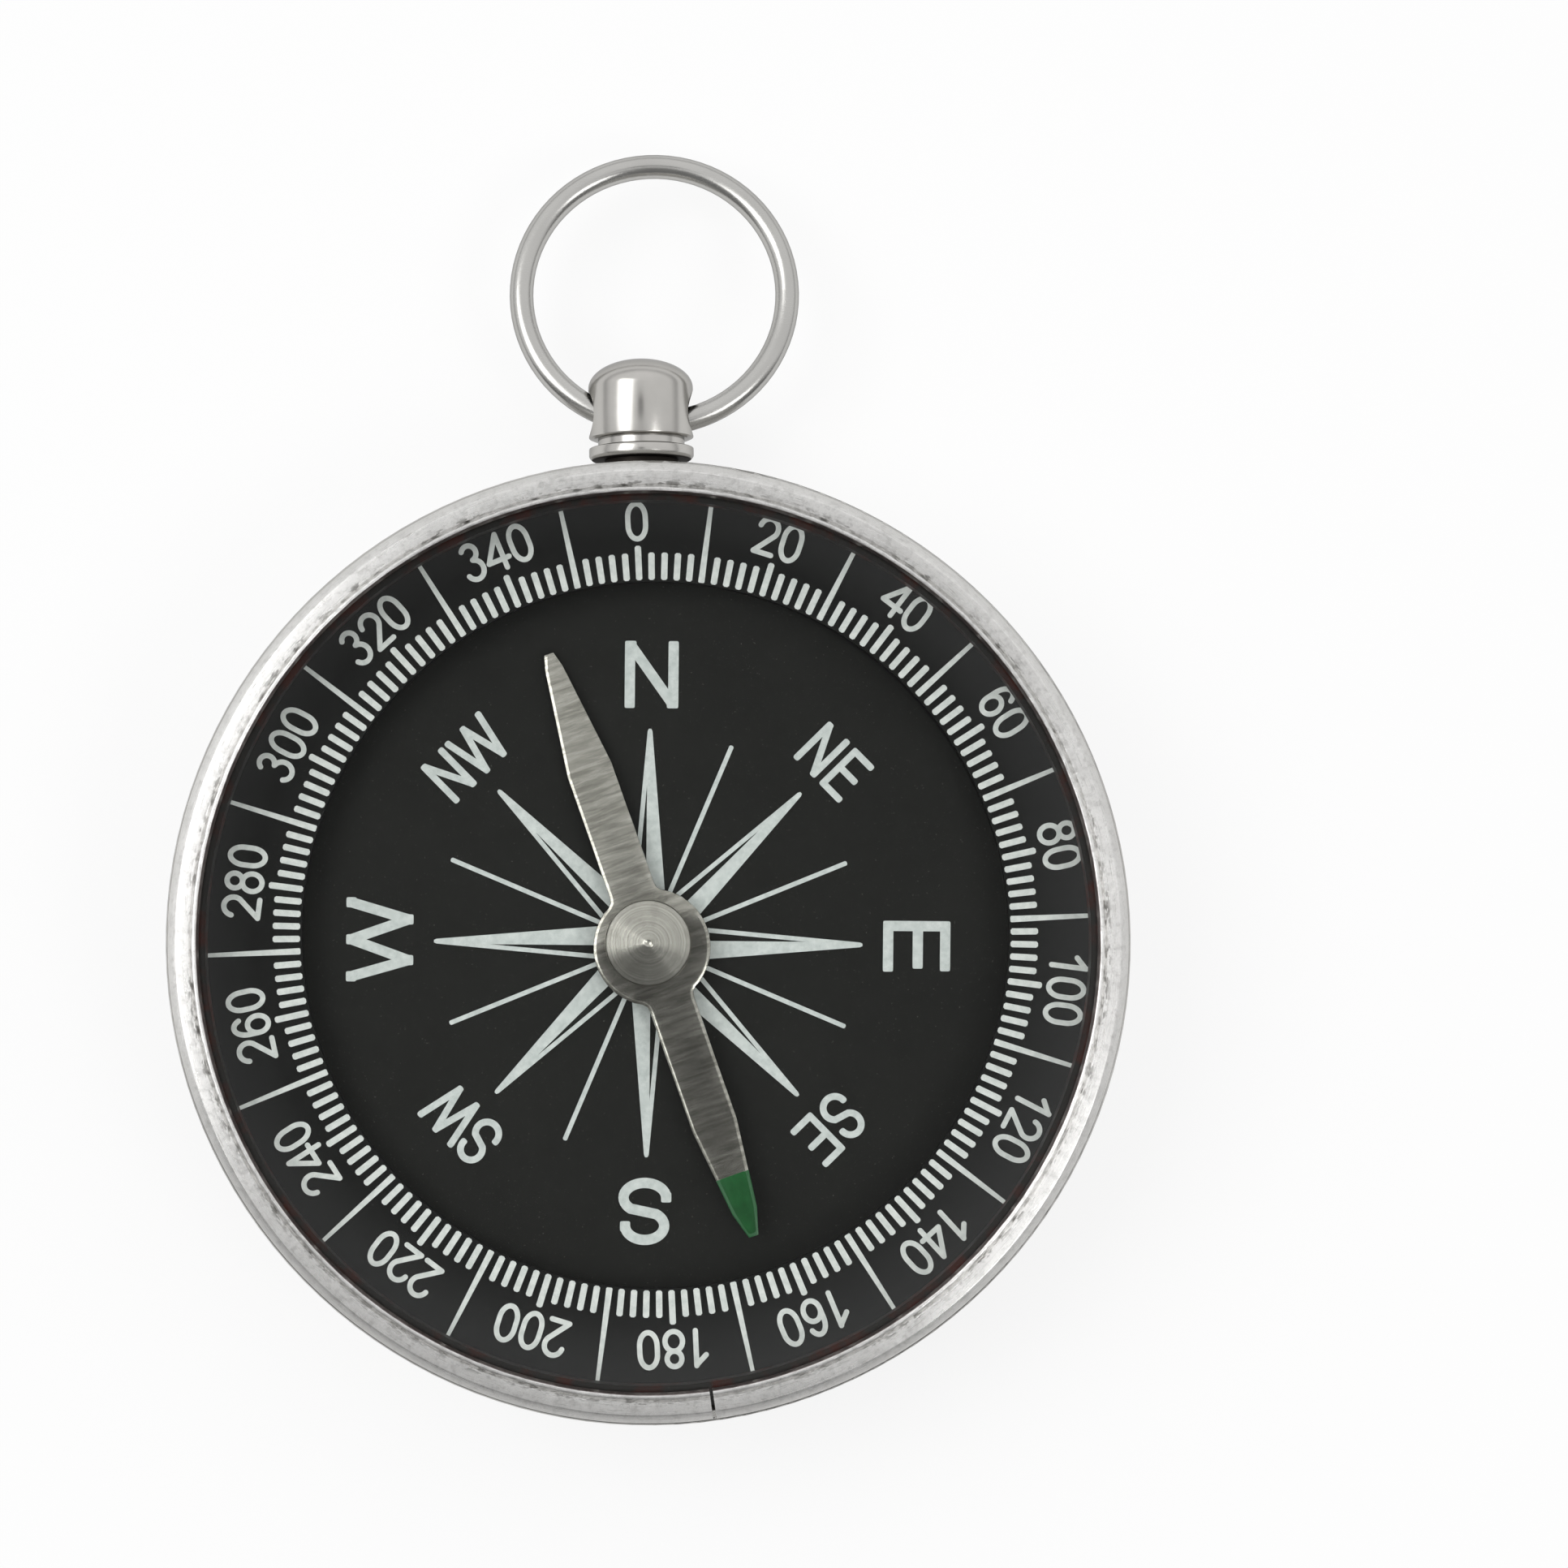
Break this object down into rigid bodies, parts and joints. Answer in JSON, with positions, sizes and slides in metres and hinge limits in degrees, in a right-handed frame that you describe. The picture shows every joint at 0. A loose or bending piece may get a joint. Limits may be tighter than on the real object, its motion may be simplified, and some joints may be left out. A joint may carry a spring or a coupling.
{
  "type": "pocket compass",
  "caption": "Round pocket compass with a drawn metal case, a flat window, a raised degree ring, a needle on a point and a wire bow on a turned stem.",
  "frame": {"origin": "on the needle's pivot axis, in the plane of the back lip that the compass lies on", "axes": "+Z out of the dial, +Y from the pivot to the stem, +X to the right of the dial"},
  "size_m": [0.0434, 0.0585, 0.0102],
  "materials": {
    "case_metal": "satin drawn sheet",
    "bezel_metal": "satin top with faint circular scratches",
    "crystal": "clear and polished",
    "spacer_black": "matt black",
    "ring_black": "satin black",
    "ring_ink": "matt print",
    "card_black": "satin black with fine specks",
    "card_ink": "matt print",
    "tray_black": "matt black",
    "bush_brass": "turned",
    "point_steel": "ground",
    "blade_metal": "cross-grain brushing",
    "tip_paint": "gloss paint",
    "cap_metal": "turned, with fine rings",
    "jewel": "polished",
    "stem_chrome": "bright plated",
    "screw_metal": "bright",
    "washer_metal": "bright",
    "bow_chrome": "bright plated"
  },
  "bodies": {
    "compass": {"case_shell": "case_metal", "bezel_ring": "bezel_metal", "crystal": "crystal", "spacer_ring": "spacer_black", "degree_ring": "ring_black", "degree_marks": "ring_ink", "rose_card": "card_black", "rose_marks": "card_ink", "dial_tray": "tray_black", "pivot_bush": "bush_brass", "pivot_point": "point_steel", "stem": "stem_chrome", "stem_screw": "screw_metal", "stem_washer": "washer_metal"},
    "needle": {"needle_blade": "blade_metal", "needle_paint": "tip_paint", "needle_cap": "cap_metal", "cap_jewel": "jewel"},
    "bow": {"bow_ring": "bow_chrome"}
  },
  "joints": [
    {"name": "needle_spin", "type": "hinge", "parent": "compass", "child": "needle", "pos_m": [0, 0, 0.007], "axis": [0, 0, 1], "continuous": true},
    {"name": "bow_swing", "type": "hinge", "parent": "compass", "child": "bow", "pos_m": [0, 0.02445, 0.0048], "axis": [1, 0, 0], "range_deg": [-116, 124]}
  ]
}
